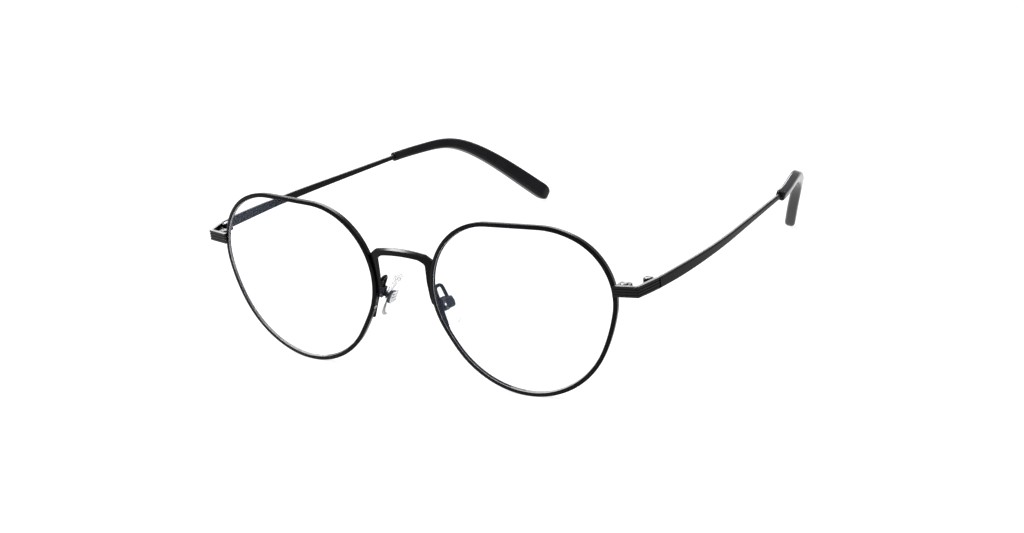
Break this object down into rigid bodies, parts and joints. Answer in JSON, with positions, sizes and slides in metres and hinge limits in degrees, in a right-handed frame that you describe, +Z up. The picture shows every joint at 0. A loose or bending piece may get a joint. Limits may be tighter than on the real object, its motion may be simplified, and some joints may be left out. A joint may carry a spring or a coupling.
{
  "type": "round wire eyeglasses",
  "caption": "Full-rim wire eyeglasses with softly angular round lenses, high bridge bar, adjustable nose pads and folding temples with down-curved tips.",
  "frame": {"origin": "middle of the pair's bounding box, on the plane it stands on; the lower rims and the temple tips touch that plane", "axes": "+X to the wearer's left, across the widest extent; +Y from the lenses back towards the ears; +Z up"},
  "size_m": [0.1372, 0.1321, 0.0452],
  "materials": {
    "black_metal": "semi-gloss black",
    "dark_steel": "darkened screws",
    "clear_lens": "clear with a faint blue anti-reflection film",
    "black_acetate": "glossy black",
    "clear_silicone": "clear, soft",
    "pad_insert_plate": "blue-grey plate inside the pad"
  },
  "bodies": {
    "front": {"bridge": "black_metal", "left_rim": "black_metal", "right_rim": "black_metal", "left_lens": "clear_lens", "right_lens": "clear_lens", "left_end_piece": "black_metal", "right_end_piece": "black_metal", "left_closing_block_upper": "black_metal", "right_closing_block_upper": "black_metal", "left_closing_block_lower": "black_metal", "right_closing_block_lower": "black_metal", "left_rim_screw": "dark_steel", "right_rim_screw": "dark_steel", "left_front_hinge": "black_metal", "right_front_hinge": "black_metal", "left_hinge_screw": "dark_steel", "right_hinge_screw": "dark_steel", "left_pad_arm": "black_metal", "right_pad_arm": "black_metal", "left_pad_box": "black_metal", "right_pad_box": "black_metal", "left_pad_screw": "dark_steel", "right_pad_screw": "dark_steel"},
    "left_temple_arm": {"left_temple_hinge": "black_metal", "left_temple": "black_metal", "left_temple_tip": "black_acetate"},
    "right_temple_arm": {"right_temple_hinge": "black_metal", "right_temple": "black_metal", "right_temple_tip": "black_acetate"},
    "left_pad_body": {"left_nose_pad": "clear_silicone", "left_pad_insert": "pad_insert_plate"},
    "right_pad_body": {"right_nose_pad": "clear_silicone", "right_pad_insert": "pad_insert_plate"}
  },
  "joints": [
    {"name": "left_temple_fold", "type": "hinge", "parent": "front", "child": "left_temple_arm", "pos_m": [0.06545, -0.0543, 0.02996], "axis": [0, 0, 1], "range_deg": [0, 78]},
    {"name": "right_temple_fold", "type": "hinge", "parent": "front", "child": "right_temple_arm", "pos_m": [-0.06545, -0.0543, 0.02996], "axis": [0, 0, -1], "range_deg": [0, 72]},
    {"name": "left_pad_rock", "type": "hinge", "parent": "front", "child": "left_pad_body", "pos_m": [0.0107, -0.05945, 0.02051], "axis": [-0.2031, -0.9791, -0.01], "range_deg": [-8, 8]},
    {"name": "right_pad_rock", "type": "hinge", "parent": "front", "child": "right_pad_body", "pos_m": [-0.0107, -0.05945, 0.02051], "axis": [-0.2031, 0.9791, 0.01], "range_deg": [-8, 8]}
  ]
}
